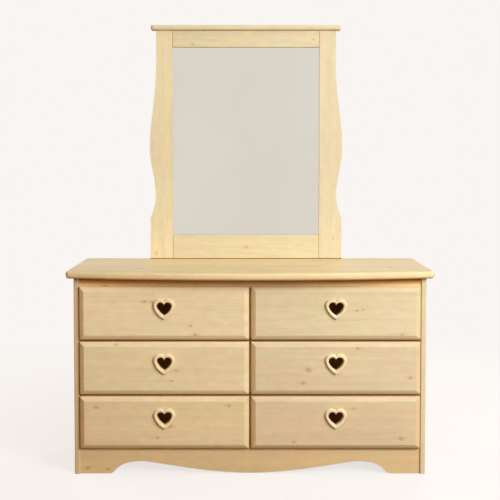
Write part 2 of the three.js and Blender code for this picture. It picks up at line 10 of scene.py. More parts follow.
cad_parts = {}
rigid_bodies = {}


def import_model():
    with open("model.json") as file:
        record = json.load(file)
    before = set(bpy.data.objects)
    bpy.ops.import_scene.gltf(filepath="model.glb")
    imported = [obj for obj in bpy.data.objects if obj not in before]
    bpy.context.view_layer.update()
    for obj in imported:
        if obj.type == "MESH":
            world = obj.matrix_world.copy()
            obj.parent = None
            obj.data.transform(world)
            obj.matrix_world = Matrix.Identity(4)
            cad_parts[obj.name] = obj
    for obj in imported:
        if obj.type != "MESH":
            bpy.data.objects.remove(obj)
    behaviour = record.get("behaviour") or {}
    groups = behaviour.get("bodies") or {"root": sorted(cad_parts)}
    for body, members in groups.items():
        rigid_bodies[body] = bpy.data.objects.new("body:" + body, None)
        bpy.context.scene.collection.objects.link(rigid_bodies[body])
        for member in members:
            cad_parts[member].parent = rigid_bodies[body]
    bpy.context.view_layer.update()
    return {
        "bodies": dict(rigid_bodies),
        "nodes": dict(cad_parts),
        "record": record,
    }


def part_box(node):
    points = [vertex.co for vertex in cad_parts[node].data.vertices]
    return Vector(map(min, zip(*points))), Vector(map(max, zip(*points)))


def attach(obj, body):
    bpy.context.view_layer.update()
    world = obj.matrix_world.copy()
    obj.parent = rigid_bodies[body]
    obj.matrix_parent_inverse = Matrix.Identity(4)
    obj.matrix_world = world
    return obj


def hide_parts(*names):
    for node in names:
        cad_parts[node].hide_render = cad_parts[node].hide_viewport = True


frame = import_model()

MM = 0.001
NODES = frame["nodes"]
RECORD = frame["record"]
BODY_OF = {node: body for body, nodes in RECORD["behaviour"]["bodies"].items() for node in nodes}
SLOT_OF = {row["node"]: row["material_slot"] for row in RECORD["subparts"]}

# Camera, from the photograph's perspective
IMAGE_SIZE = 500
SENSOR_WIDTH = 36.0
FOCAL_PIXELS = 836.9
CAMERA_DISTANCE = 3.11
CAMERA_HEIGHT = 1.194
CAMERA_SIDE = -0.015
CAMERA_TILT = math.radians(2.2)
PRINCIPAL_PIXEL = (246.0, 189.0)

# Light and background, as linear colours
BACKDROP = (0.947, 0.914, 0.888)
ROOM_LIGHT = (1.0, 0.72, 0.45)
ROOM_STRENGTH = 0.015
LIGHT_TARGET = Vector((0.0, -0.17, 0.55))
# Each lamp's name, azimuth from the front to the right and elevation in degrees, distance, width,
# height, power and colour
LAMPS = (
    ("key", 50, 24, 5.0, 2.4, 2.0, 238.0, (0.97, 1.0, 1.0)),
    ("near", 26, 20, 3.3, 2.2, 1.8, 36.0, (0.97, 1.0, 1.0)),
    ("fill", -38, 20, 5.0, 3.0, 2.6, 48.0, (1.0, 0.5, 0.2)),
    ("overhead", 20, 72, 4.0, 2.5, 2.5, 42.0, (1.0, 0.98, 0.95)),
    ("rear_left", -120, 12, 4.0, 2.0, 2.0, 80.0, (1.0, 0.93, 0.82)),
    ("rear_right", 150, 12, 4.0, 2.0, 2.0, 125.0, (1.0, 0.93, 0.82)),
)
REFLECTED_LAMP = "overhead"
FLOOR_SIZE = 60.0
FLOOR_DROP = 0.2 * MM
FLOOR_BOUNCE = (0.14, 0.05, 0.01)
FLOOR_SHADOW_SHARE = 0.2
FLOOR_SHADOW_FADE = (0.9, 2.6)

# Noise: how often it repeats in a metre along each axis, its detail, its roughness and its start
Noise = namedtuple("Noise", "stretch detail roughness offset", defaults=(2.0, 0.5, None))

# Growth rings, their spacing, their wandering and the darkening from early to late wood in a year
RING_SPACING = 6.5 * MM
RING_TAPER = 0.012
RING_CONTRAST = 0.2
RING_STEP = ((0.0, 0.0), (0.4, 0.15), (0.84, 1.0), (0.94, 0.8), (1.0, 0.0))
RING_YEARS = (0.8, 0.2)  # how much the years differ, and the least that they show
WANDER = Noise((1.1, 5.0, 5.0))
WANDER_REACH = 34 * MM
WAVER = Noise((6.0, 22.0, 22.0))
WAVER_REACH = 4 * MM
EARLY_WOOD = (0.77, 0.622, 0.387)
LATE_WOOD = (0.56, 0.36, 0.17)

# Colour changes along the grain, and how strong each one is
STREAK = Noise((1.6, 46.0, 46.0))
STREAK_SWING = 0.17
MOTTLE = Noise((24.0, 44.0, 44.0), offset=(5.2, 1.9, 8.4))
MOTTLE_SWING = 0.17
CLOUD = Noise((2.4, 9.0, 9.0))
CLOUD_SWING = 0.12
FIBRE = Noise((9.0, 620.0, 620.0), roughness=0.6)
FIBRE_SWING = 0.14
TONE = Noise((26.0, 52.0, 52.0), offset=(7.4, 2.6, 4.9))
TONE_SWING = (0.10, 0.0, -0.09)
BLUSH = Noise((5.0, 16.0, 16.0), 3.0, 0.65, (3.1, 7.7, 1.3))
BLUSH_RISE = (-0.12, 0.18)
BLUSH_MOST = 0.8
PINK_WOOD = (0.79, 0.59, 0.38)

# Knots, whose lengths are shares of the radius, and how far each colour covers the wood
KNOT_EDGE = Noise((130, 130, 30), 3.0, 0.6)
KNOT_RAGGED = 1.7
KNOT_SQUEEZE = 0.8  # along the grain, of the knot itself, of its halo and of the grain round it
HALO_SQUEEZE = 0.34
GRAIN_SQUEEZE = 0.4
GRAIN_PUSH = 2.6
KNOT_RINGS = 14.0
KNOT_RING_DEPTH = 0.12
CORE_FADE = (0.35, 1.6)
RIM_RISE = (0.6, 1.0)
RIM_FADE = (1.0, 1.4)
HALO_FADE = (0.4, 2.1)
KNOT_COLORS = (("Halo", 0.4, (0.68, 0.42, 0.19)), ("Core", 0.5, (0.47, 0.26, 0.10)),
               ("Rim", 0.12, (0.17, 0.075, 0.03)))

# Each board's own stretch of wood
SEED_SPREAD = 40
PLANK_SPREAD = (30, 30, 30)
PLANK_LEVELS = (0.10, 0.95)  # how much the planks differ, and the darkest of them
PITH_SIDE = 0.05
PITH_DEPTH = (0.05, 0.13)
KNOT_LEAN = 0.5

# End grain: where a face counts as turned across the grain, and how much darker it is
END_FACE = (0.75, 0.95)
END_DARKENING = 0.2
TURNED_FACE = (0.3, 0.5)
TURNED_STAIN = (0.97, 0.90, 0.78)
SEAM_AND_SHADE_POWERS = (0.6, 1.8)  # a seam or a painted shade is redder than it is dark

# Surface of the wood
FIBRE_ROUGHNESS = 0.16
END_ROUGHNESS = 0.12
LATE_HEIGHT = 0.5
WOOD_BUMP = (0.22, 0.35 * MM)
COAT_IOR = 1.4
INSIDE_PAINTED_GLOW = (1.0, 0.42, 0.09)  # painted light: a faint glow that stands in for the light the boards inside throw on each other
INSIDE_PAINTED_GLOW_LEVEL = 0.009

# Finishes: clear lacquer on the boards, on the top and on the heart rings, and bare wood
Finish = namedtuple("Finish", "roughness coat coat_roughness gloss", defaults=(0.28, 0.12))
LACQUER = Finish(0.4, 0.08)
TOP_LACQUER = Finish(0.3, 0.34, 0.12, 0.0)
RING_LACQUER = Finish(0.34, 0.3, 0.2)
BARE = Finish(0.55, 0.0)
BARE_PLYWOOD = Finish(0.62, 0.0)

TOP_PLANK = 0.112
SIDE_PLANK = 0.127

# Which axes run along, across and through each board
GRAIN = {"x": (0, 2, 1), "z": (2, 0, 1), "z_side": (2, 1, 0), "y": (1, 2, 0), "x_flat": (0, 1, 2)}

# Knots of each board: along the grain and across it from the board's centre, and the radius, in mm
KNOTS = {
    "drawer_top_left_front": [(-71, 46, 5), (-45, 46, 4), (99, -45, 4), (116, -78, 5)],
    "drawer_top_right_front": [(77, 12, 4), (100, 15, 3), (245, -77, 4)],
    "drawer_middle_left_front": [(44, -7, 4), (28, -46, 3), (-179, 89, 4)],
    "drawer_middle_right_front": [(-103, -4, 7), (-122, -54, 5), (82, 76, 4), (279, -35, 5)],
    "drawer_bottom_left_front": [(-255, 60, 5), (242, 66, 5), (22, -12, 5), (-26, -55, 4)],
    "drawer_bottom_right_front": [(245, -58, 6), (-156, -71, 4), (68, 55, 3)],
    "base_apron": [(-611, -31, 5), (-536, -35, 4)],
    "top_front_rail": [(-543, -12, 4)],
    "mirror_top_rail": [(-220, -22, 5), (277, -2, 4)],
    "mirror_bottom_rail": [(0, -1, 5)],
    "mirror_stile_left": [(-451, -22, 5)],
    "mirror_stile_right": [(-388, 12, 4)],
    "side_panel_left": [(150, -90, 9), (-210, 60, 7), (60, 120, 5)],
    "side_panel_right": [(-120, 80, 8), (230, -60, 6), (-290, -110, 6)],
    "mirror_support_left": [(-180, 8, 8), (240, -12, 6)],
    "mirror_support_right": [(60, -10, 7), (-330, 14, 5)],
    "top_panel": [(-420, -95, 6), (310, 40, 5), (75, -150, 5), (540, -60, 6)],
}
KNOT_LEVELS = {
    "mirror_stile_left": 0.5,
    "mirror_stile_right": 0.4,
    "mirror_top_rail": 0.65,
    "mirror_bottom_rail": 0.65,
}

# Tints, board by board. The boards differ a little in their own shade, and the tints also hold
# painted shade and light: the right-hand and lower fronts and the right mirror stile are darker
# than the others, against how the lamps fall, and the divider rails and centre partition are dark
PLAIN_SHADE = (1.0, 1.0, 1.0)
PLYWOOD_SHADE = (0.92, 0.87, 0.80)
INSIDE_SHADE = (0.93, 0.94, 0.93)
SUPPORT_SHADE = (0.95, 0.95, 0.93)
# painted highlight: the heart rings are tinted paler than the fronts
RING_PAINTED_HIGHLIGHT_TINT = (1.05, 1.15, 1.2)
FRAME_SHADE = (0.87, 0.97, 1.01)
TINTS_AND_PAINTED_SHADE = {
    # painted shade: the right-hand and lower fronts darker than the others, against how the lamps
    # fall
    "drawer_top_left_front": (1.03, 1.09, 1.10),
    "drawer_top_right_front": (0.91, 0.98, 1.0),
    "drawer_middle_left_front": (0.98, 1.04, 1.02),
    "drawer_middle_right_front": (0.89, 0.93, 0.95),
    "drawer_bottom_left_front": (0.97, 0.98, 0.93),
    "drawer_bottom_right_front": (0.89, 0.90, 0.90),
    "base_apron": (0.89, 0.84, 0.71),
    "top_panel": (1.04, 1.05, 0.97),
    "top_front_rail": (1.08, 0.97, 0.76),
    # painted shade: the divider rails and the centre partition, seen only in the gaps, made dark
    "divider_rail_lower": (0.40, 0.25, 0.18),
    "divider_rail_upper": (0.34, 0.19, 0.13),
    "center_partition": (0.7, 0.66, 0.6),
    "side_panel_left": (0.93, 0.88, 0.78),
    "side_panel_right": (0.94, 1.0, 1.0),
    "mirror_stile_left": (0.95, 1.06, 1.09),
    "mirror_stile_right": (0.87, 0.96, 1.02),
    "mirror_top_rail": FRAME_SHADE,
    "mirror_bottom_rail": FRAME_SHADE,
    "mirror_cap": FRAME_SHADE,
}

# Dark joints where the boards of the mirror's frame meet, and painted shade: on the drawer
# fronts' left and lower bevels, along the top's lower edge, as the top's shadow on the front rail
# and as contact shadow where the mirror's frame stands on the top. Each is along (0), across (1)
# or through (2) the board, the place from its centre and the reach in mm, and the shade's level
# there
# painted shade: the fronts' left and lower bevels darkened, the lower ones most on the bottom row
LEFT_BEVEL_PAINTED_SHADE = (0, -316.5, 12.0, 0.88)
FRONT_PAINTED_SHADE = (LEFT_BEVEL_PAINTED_SHADE, (1, -99.0, 15.0, 0.74), (1, -99.0, 5.0, 0.6))
LOW_FRONT_PAINTED_SHADE = (LEFT_BEVEL_PAINTED_SHADE, (1, -99.0, 15.0, 0.60), (1, -99.0, 5.0, 0.5))
FRAME_JOINTS = ((0, -303.3, 3.2, 0.4), (0, 303.3, 3.2, 0.4))
# painted contact shadow at the foot of the mirror's stiles, where they stand on the top
STILE_FOOT_PAINTED_SHADOW = ((0, -472.0, 5.0, 0.03),)
SEAMS_AND_PAINTED_SHADE = {
    # painted shade on the slab's lower edge and underside
    "top_panel": ((2, -14.0, 15.0, 0.72),),
    # painted shadow of the top's overhang on the front rail, darkest at the rail's upper edge
    "top_front_rail": ((1, 19.4, 31.0, 0.25),),
    "mirror_top_rail": FRAME_JOINTS,
    # with a painted contact shadow along the rail's lower edge, where it stands on the top
    "mirror_bottom_rail": FRAME_JOINTS + ((1, -49.5, 5.0, 0.03),),
    "mirror_stile_left": STILE_FOOT_PAINTED_SHADOW,
    "mirror_stile_right": STILE_FOOT_PAINTED_SHADOW,
}

# Silvered glass, hardboard and plated steel
HAZE = Noise((2.2, 2.2, 1.7), 3.0)
HAZE_RISE = (-0.3, 0.3)
GLASS_COLORS = ((0.72, 0.705, 0.625), (0.775, 0.755, 0.70))
GLASS_ROUGHNESS = (0.02, 0.03)  # here and below, how far it swings and its middle
PULP = Noise((260, 260, 260), 4.0, 0.7)
PULP_RISE = (-0.25, 0.25)
PULP_COLORS = ((0.13, 0.062, 0.03), (0.27, 0.145, 0.075))
PULP_CLOUD = Noise((9, 9, 9), 3.0)
PULP_CLOUD_RISE = (-0.3, 0.4)
PULP_CLOUD_MOST = 0.4
PULP_CLOUD_COLOR = (0.33, 0.19, 0.10)
PULP_ROUGHNESS = (0.2, 0.78)
PULP_BUMP = (0.5, 0.3 * MM)
SCREEN_PITCH = (2400, 2400, 2400)
SCREEN_HEIGHT = 0.25
SPANGLE = Noise((900, 900, 900), 3.0, 0.6)
SPANGLE_RISE = (-0.2, 0.25)
STEEL_COLORS = ((0.46, 0.44, 0.39), (0.66, 0.65, 0.61))
STEEL_ROUGHNESS = (0.25, 0.38)
BRUSHING = Noise((400, 400, 9000))
STEEL_BUMP = (0.3, 0.05 * MM)

# Edges
ARRIS = 0.9 * MM
GLASS_ARRIS = 0.4 * MM
BACKING_ARRIS = 0.3 * MM
SEAT_ARRIS = 2.4 * MM
SEATED = ("mirror_bottom_rail", "mirror_stile_left", "mirror_stile_right")
ARRIS_SEGMENTS = 2
ARRIS_PROFILE = 0.5
WELD = 0.02 * MM
FLAT_ANGLE = math.radians(0.6)
SHARP_ANGLE = math.radians(38)
EASED_ANGLE = math.radians(20)

# Heart rings, drawn as arcs: the finger hole at share 0 and the outer edge at share 1
HOLE = {"spread": 13.2 * MM, "radius": 14.2 * MM, "rise": 0.0,
        "side": 54 * MM, "lean": math.radians(22)}
RIM = {"spread": 16.5 * MM, "radius": 24 * MM, "rise": 3.8 * MM,
       "side": 75 * MM, "lean": math.radians(15)}
RING_SHOULDER = 2.5 * MM
SLEEVE_SHARE = 0.26
LOBE_STEPS = 28
SIDE_STEPS = 18
BEAD_STEPS = 16

# Countersunk screws, with the head and its cross recess a little under the surface
SCREW_SIDES = 32
SCREW_HOLE = 4.6 * MM
SCREW_DEPTH = 1.4 * MM
SCREW_HEAD = 4.2 * MM
SCREW_SINK = 0.35 * MM
SCREW_CHAMFER = 0.8 * MM
CROSS_ARM = 0.55  # a share of the head's radius, like the next
CROSS_HALF_WIDTH = 0.13
CROSS_DEPTH = 0.9 * MM
CROSS_TAPER = 0.7  # the size of the cross at its bottom, as a share of that at its top
SCREW_HEIGHTS = (0.455, 0.565, 0.69, 0.85, 1.12, 1.4)  # over the floor, in metres
SCREW_ZIGZAG = 9 * MM

# Plates that stand proud of their seat: shares of their outline and of their height, from below
TAB_LEVELS = ((1.0, -0.3), (1.0, 0.45), (0.94, 0.8), (0.8, 1.0))

# Staples, glazing points and nails, with how far each strays, in mm and in radians. A glazing
# point's outline is in shares of half its width and of its depth
STAPLE = (10.5 * MM, 1.3 * MM)
STAPLE_PROUD = 0.5 * MM
STAPLE_INSET = 7 * MM
STAPLE_SPACING = 96 * MM
STAPLE_STRAY = (2, 4, 0.12)
GLAZING_POINT = (11 * MM, 9 * MM)
GLAZING_OUTLINE = ((-1.0, 0.0), (-0.5, -0.2), (0.5, -0.2), (1.0, 0.0), (0.25, 0.8), (-0.25, 0.8))
GLAZING_PROUD = 0.6 * MM
GLAZING_SIDES = (0.12, 0.37, 0.63, 0.88)
GLAZING_ENDS = (0.2, 0.5, 0.8)
GLAZING_STRAY = 0.1
NAIL_HEAD = 1.7 * MM
NAIL_SIDES = 16
NAIL_PROUD = 0.25 * MM
NAIL_HEIGHTS = (0.15, 0.5, 0.85)
NAIL_STRAY = 3
BACKWARDS = Vector((0.0, 1.0, 0.0))


class Graph:
    """A node tree, with short calls for the nodes that the materials need."""

    def __init__(self, tree):
        self.tree = tree

    def add(self, kind, inputs=None, **settings):
        node = self.tree.nodes.new(kind)
        for key, value in settings.items():
            setattr(node, key, value)
        for key, value in (inputs or {}).items():
            self.feed(node.inputs[key], value)
        return node

    def feed(self, socket, value):
        if isinstance(value, bpy.types.NodeSocket):
            self.tree.links.new(value, socket)
        elif socket.type == "RGBA" and len(value) == 3:
            socket.default_value = (*value, 1.0)
        else:
            socket.default_value = value

    def math(self, operation, *values):
        node = self.add("ShaderNodeMath", operation=operation)
        for socket, value in zip(node.inputs, values):
            self.feed(socket, value)
        return node.outputs[0]

    def plus(self, first, second):
        return self.math("ADD", first, second)

    def times(self, first, second):
        return self.math("MULTIPLY", first, second)

    def over(self, first, second):
        return self.math("DIVIDE", first, second)

    def swing(self, value, strength, middle):
        """A value times its strength, added to the middle."""
        return self.math("MULTIPLY_ADD", value, strength, middle)

    def squares(self, first, second):
        """The sum of two squares."""
        return self.plus(self.math("POWER", first, 2.0), self.math("POWER", second, 2.0))

    def length(self, first, second):
        """The length of the hypotenuse over two lengths."""
        return self.math("SQRT", self.squares(first, second))

    def vector(self, operation, *values):
        node = self.add("ShaderNodeVectorMath", operation=operation)
        for socket, value in zip(node.inputs, values):
            self.feed(socket, value)
        return node.outputs["Value" if operation == "LENGTH" else "Vector"]

    def split(self, vector):
        return self.add("ShaderNodeSeparateXYZ", {"Vector": vector}).outputs[:]

    def combine(self, x, y, z):
        return self.add("ShaderNodeCombineXYZ", {"X": x, "Y": y, "Z": z}).outputs[0]

    def place(self):
        """The shaded point, in metres."""
        return self.add("ShaderNodeTexCoord").outputs["Object"]

    def noise(self, vector, kind):
        """Noise of a kind about zero, from -0.5 to 0.5."""
        if kind.offset:
            vector = self.vector("ADD", vector, kind.offset)
        made = self.add("ShaderNodeTexNoise", {
            "Vector": self.vector("MULTIPLY", vector, kind.stretch), "Scale": 1.0,
            "Detail": kind.detail, "Roughness": kind.roughness})
        return self.math("SUBTRACT", made.outputs["Fac"], 0.5)

    def pick(self, number):
        """White noise from a whole number."""
        return self.add("ShaderNodeTexWhiteNoise", {"W": number}, noise_dimensions="1D").outputs

    def smooth(self, value, low, high, start=0.0, end=1.0):
        made = self.add("ShaderNodeMapRange", {
            "Value": value, "From Min": low, "From Max": high, "To Min": start, "To Max": end,
        }, interpolation_type="SMOOTHSTEP")
        return made.outputs["Result"]

    def fade(self, value, low, high):
        return self.smooth(value, low, high, 1.0, 0.0)

    def ramp(self, value, stops):
        node = self.add("ShaderNodeValToRGB", {"Fac": value})
        elements = node.color_ramp.elements
        while len(elements) < len(stops):
            elements.new(0.5)
        for element, (place, level) in zip(elements, stops):
            element.position = place
            element.color = (level, level, level, 1.0)
        return node.outputs["Color"]

    def mix(self, factor, first, second, blend="MIX"):
        node = self.add("ShaderNodeMix", data_type="RGBA", blend_type=blend, clamp_factor=True)
        self.feed(node.inputs["Factor"], factor)
        self.feed(node.inputs[6], first)
        self.feed(node.inputs[7], second)
        return node.outputs[2]

    def tint(self, color, by):
        return self.mix(1.0, color, by, "MULTIPLY")

    def bump(self, strength, distance, height):
        made = self.add("ShaderNodeBump", {
            "Strength": strength, "Distance": distance, "Height": height})
        return made.outputs["Normal"]

    def mix_shaders(self, factor, first, second):
        return self.add("ShaderNodeMixShader", {
            0: factor, 1: first.outputs[0], 2: second.outputs[0]})

    def surface(self, shader, output="ShaderNodeOutputMaterial"):
        self.feed(self.add(output).inputs["Surface"], shader.outputs[0])

    def seen_directly(self):
        """1 for rays from the camera and for reflected and refracted ones."""
        path = self.add("ShaderNodeLightPath").outputs
        seen = self.math("MAXIMUM", path["Is Camera Ray"], path["Is Glossy Ray"])
        return self.math("MAXIMUM", seen, path["Is Transmission Ray"])


def new_material(name):
    """A material with an empty node tree, and the graph that fills it."""
    material = bpy.data.materials.new(name)
    material.use_nodes = True
    material.node_tree.nodes.clear()
    return material, Graph(material.node_tree)


def new_group(name, inputs, outputs):
    tree = bpy.data.node_groups.new(name, "ShaderNodeTree")
    for way, sockets in (("INPUT", inputs), ("OUTPUT", outputs)):
        for socket, kind in sockets.items():
            tree.interface.new_socket(socket, in_out=way, socket_type="NodeSocket" + kind)
    graph = Graph(tree)
    return graph, graph.add("NodeGroupInput").outputs, graph.add("NodeGroupOutput").inputs


def use_group(graph, group, inputs):
    node = graph.add("ShaderNodeGroup")
    node.node_tree = group
    for key, value in inputs.items():
        graph.feed(node.inputs[key], value)
    return node.outputs


def knot_group():
    """One knot: how far it pushes the grain aside, its core, its rim and the tan wood round it."""
    graph, given, made = new_group(
        "knot", {"Point": "Vector", "Centre": "Vector", "Radius": "Float", "Lean": "Float"},
        {"Shift": "Float", "Core": "Float", "Rim": "Float", "Halo": "Float"})
    point, radius = given["Point"], given["Radius"]
    along, across, _ = graph.split(graph.vector("SUBTRACT", point, given["Centre"]))
    leaning = graph.swing(across, given["Lean"], along)
    wobble = graph.times(graph.noise(point, KNOT_EDGE), graph.times(radius, KNOT_RAGGED))
    near = graph.length(graph.times(leaning, KNOT_SQUEEZE), across)
    share = graph.over(graph.plus(near, wobble), radius)
    ringed = graph.times(graph.math("SINE", graph.times(share, KNOT_RINGS)), KNOT_RING_DEPTH)
    reach = graph.times(graph.math("POWER", radius, 2.0), GRAIN_PUSH)
    far = graph.squares(graph.times(along, GRAIN_SQUEEZE), across)
    pushed = graph.over(graph.times(across, reach), graph.plus(far, reach))
    tail = graph.over(graph.length(graph.times(leaning, HALO_SQUEEZE), across), radius)
    rim = graph.times(graph.smooth(share, *RIM_RISE), graph.fade(share, *RIM_FADE))
    graph.feed(made["Shift"], graph.times(pushed, -1.0))
    graph.feed(made["Core"], graph.fade(graph.plus(share, ringed), *CORE_FADE))
    graph.feed(made["Rim"], rim)
    graph.feed(made["Halo"], graph.fade(tail, *HALO_FADE))
    return graph.tree


def pine_group():
    """Pine: rings round a pith line, streaks, mottle and fibres, all along the first axis."""
    graph, given, made = new_group(
        "pine", {"Point": "Vector", "Seed": "Vector", "Pith": "Vector", "Shift": "Float",
                 "Core": "Float", "Rim": "Float", "Halo": "Float"},
        {"Color": "Color", "Height": "Float", "Fibre": "Float"})
    pushed = graph.vector("ADD", given["Point"], graph.combine(0.0, given["Shift"], 0.0))
    seeded = graph.vector("ADD", pushed, given["Seed"])

    along, across, through = graph.split(graph.vector("SUBTRACT", pushed, given["Pith"]))
    distance = graph.swing(along, RING_TAPER, graph.length(across, through))
    wander = graph.times(graph.noise(seeded, WANDER), WANDER_REACH)
    waver = graph.times(graph.noise(seeded, WAVER), WAVER_REACH)
    phase = graph.over(graph.plus(distance, graph.plus(wander, waver)), RING_SPACING)
    year = graph.pick(graph.math("FLOOR", phase))["Value"]
    band = graph.ramp(graph.math("FRACT", phase), RING_STEP)
    late = graph.times(band, graph.swing(year, *RING_YEARS))
    wood = graph.mix(graph.times(late, RING_CONTRAST), EARLY_WOOD, LATE_WOOD)

    blush = graph.noise(seeded, BLUSH)
    wood = graph.mix(graph.smooth(blush, *BLUSH_RISE, 0.0, BLUSH_MOST), wood, PINK_WOOD)
    fibre = graph.noise(seeded, FIBRE)
    level = graph.swing(graph.noise(seeded, STREAK), STREAK_SWING, 1.0)
    level = graph.swing(graph.noise(seeded, MOTTLE), MOTTLE_SWING, level)
    level = graph.swing(graph.noise(seeded, CLOUD), CLOUD_SWING, level)
    level = graph.swing(fibre, FIBRE_SWING, level)
    tone = graph.noise(seeded, TONE)
    hue = graph.vector("MULTIPLY", graph.combine(tone, tone, tone), TONE_SWING)
    wood = graph.tint(wood, graph.vector("ADD", graph.combine(level, level, level), hue))
    for part, cover, color in KNOT_COLORS:
        wood = graph.mix(graph.times(given[part], cover), wood, color)

    graph.feed(made["Color"], wood)
    graph.feed(made["Height"], graph.swing(late, LATE_HEIGHT, fibre))
    graph.feed(made["Fibre"], fibre)
    return graph.tree


KNOT_GROUP = knot_group()
PINE_GROUP = pine_group()


def board_point(graph, centre, grain):
    """The point in the board's own frame: along the grain, across it and through the board."""
    axes = graph.split(graph.vector("SUBTRACT", graph.place(), centre))
    return graph.combine(*(axes[i] for i in GRAIN[grain]))


def planks(graph, point, width):
    """Splits a glued-up panel into planks, each with wood of its own."""
    along, across, through = graph.split(point)
    number = graph.math("FLOOR", graph.over(across, width))
    middle = graph.times(graph.plus(number, 0.5), width)
    inside = graph.math("SUBTRACT", across, middle)
    return graph.combine(along, inside, through), graph.pick(number)


def knots_in(graph, node, point, pick):
    """What all the knots of a board do together at a point."""
    found = {"Shift": 0.0, "Core": 0.0, "Rim": 0.0, "Halo": 0.0}
    for along, across, radius in KNOTS.get(node, ()):
        made = use_group(graph, KNOT_GROUP, {
            "Point": point, "Centre": (along * MM, across * MM, 0.0), "Radius": radius * MM,
            "Lean": pick.uniform(-KNOT_LEAN, KNOT_LEAN),
        })
        for part in found:
            together = "ADD" if part == "Shift" else "MAXIMUM"
            found[part] = graph.math(together, found[part], made[part])
    for part in ("Core", "Rim", "Halo"):
        found[part] = graph.times(found[part], KNOT_LEVELS.get(node, 1.0))
    return found


def turned(graph, grain, low, high):
    """1 on faces that are turned across the grain, and 0 on the others."""
    normal = graph.split(graph.add("ShaderNodeTexCoord").outputs["Normal"])
    return graph.smooth(graph.math("ABSOLUTE", normal[GRAIN[grain][0]]), low, high)


def seams_and_painted_shade_of(node):
    if node.endswith("_front"):
        return LOW_FRONT_PAINTED_SHADE if "bottom" in node else FRONT_PAINTED_SHADE
    return SEAMS_AND_PAINTED_SHADE.get(node, ())


def seam_and_painted_shade(graph, point, seams):
    """1 away from a board's seams and painted shade, and down to each one's level beside it."""
    axes = graph.split(point)
    shade = 1.0
    for axis, place, reach, level in seams:
        off = graph.math("ABSOLUTE", graph.math("SUBTRACT", axes[axis], place * MM))
        shade = graph.times(shade, graph.smooth(off, 0.0, reach * MM, level, 1.0))
    red, blue = (graph.math("POWER", shade, power) for power in SEAM_AND_SHADE_POWERS)
    return graph.combine(red, shade, blue)


def wood_material(node, grain, shade=None, finish=LACQUER, plank_width=None, glow=0.0):
    """Pine for a node's board, with its own stretch of grain, knots, tint, seams and painted
    shade, and a painted glow where one is given.
    """
    pick = random.Random(node)
    material, graph = new_material(node)
    low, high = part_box(node)
    place = point = board_point(graph, (low + high) / 2, grain)
    seed = tuple(pick.uniform(-SEED_SPREAD, SEED_SPREAD) for _ in range(3))
    pith_side = pick.uniform(-PITH_SIDE, PITH_SIDE)
    pith = (0.0, pith_side, pick.choice((-1, 1)) * pick.uniform(*PITH_DEPTH))
    if plank_width:
        point, picked = planks(graph, place, plank_width)
        spread = graph.vector("MULTIPLY", picked["Color"], PLANK_SPREAD)
        seed = graph.vector("ADD", spread, seed)
    pine = use_group(graph, PINE_GROUP, {
        "Point": point, "Seed": seed, "Pith": pith, **knots_in(graph, node, place, pick)})

    color = graph.tint(pine["Color"], shade or TINTS_AND_PAINTED_SHADE.get(node, PLAIN_SHADE))
    if plank_width:
        level = graph.swing(picked["Value"], *PLANK_LEVELS)
        color = graph.tint(color, graph.combine(level, level, level))
    ends = turned(graph, grain, *END_FACE)
    color = graph.mix(graph.times(ends, END_DARKENING), color, LATE_WOOD)
    color = graph.mix(turned(graph, grain, *TURNED_FACE), color, graph.tint(color, TURNED_STAIN))
    # dark seams, and painted shade on bevels, lower edges, under the top and at the mirror's foot
    if seams_and_painted_shade_of(node):
        color = graph.tint(color, seam_and_painted_shade(graph, place, seams_and_painted_shade_of(node)))

    rough = graph.swing(pine["Fibre"], FIBRE_ROUGHNESS, finish.roughness)
    graph.surface(graph.add("ShaderNodeBsdfPrincipled", {
        "Base Color": color, "Roughness": graph.swing(ends, END_ROUGHNESS, rough),
        "Normal": graph.bump(*WOOD_BUMP, pine["Height"]),
        "Coat Weight": finish.coat, "Coat Roughness": finish.coat_roughness, "Coat IOR": COAT_IOR,
        "Specular IOR Level": finish.gloss,
        # painted light: the boards inside the case and the drawers glow faintly where a glow is
        # given
        "Emission Color": INSIDE_PAINTED_GLOW, "Emission Strength": glow,
    }))
    return material


def wood_for(node):
    """The wood of a node's board: its grain, glued-up planks and finish."""
    if SLOT_OF[node] == "plywood":
        # painted light: the drawers' plywood bottoms glow faintly
        glow = INSIDE_PAINTED_GLOW_LEVEL if "drawer" in node else 0.0
        return wood_material(node, "x", PLYWOOD_SHADE, BARE_PLYWOOD, glow=glow)
    if node == "top_panel":
        return wood_material(node, "x_flat", finish=TOP_LACQUER, plank_width=TOP_PLANK)
    if node == "center_partition" or node.startswith("side_panel"):
        return wood_material(node, "z_side", plank_width=SIDE_PLANK)
    if "guide" in node or "_side_" in node:
        return wood_material(node, "y", INSIDE_SHADE, BARE, glow=INSIDE_PAINTED_GLOW_LEVEL)
    if "support" in node:
        return wood_material(node, "z", SUPPORT_SHADE, BARE)
    if "stile" in node:
        return wood_material(node, "z")
    if node.endswith("_back"):
        return wood_material(node, "x", INSIDE_SHADE, BARE, glow=INSIDE_PAINTED_GLOW_LEVEL)
    if node.endswith("heart_pull"):
        return wood_material(node, "x", RING_PAINTED_HIGHLIGHT_TINT, RING_LACQUER)
    return wood_material(node, "x")


def mirror_material():
    """Silvered glass, with a trace of haze."""
    material, graph = new_material("silvered_glass")
    haze = graph.noise(graph.place(), HAZE)
    graph.surface(graph.add("ShaderNodeBsdfPrincipled", {
        "Base Color": graph.mix(graph.smooth(haze, *HAZE_RISE), *GLASS_COLORS),
        "Metallic": 1.0, "Roughness": graph.swing(haze, *GLASS_ROUGHNESS),
    }))
    return material


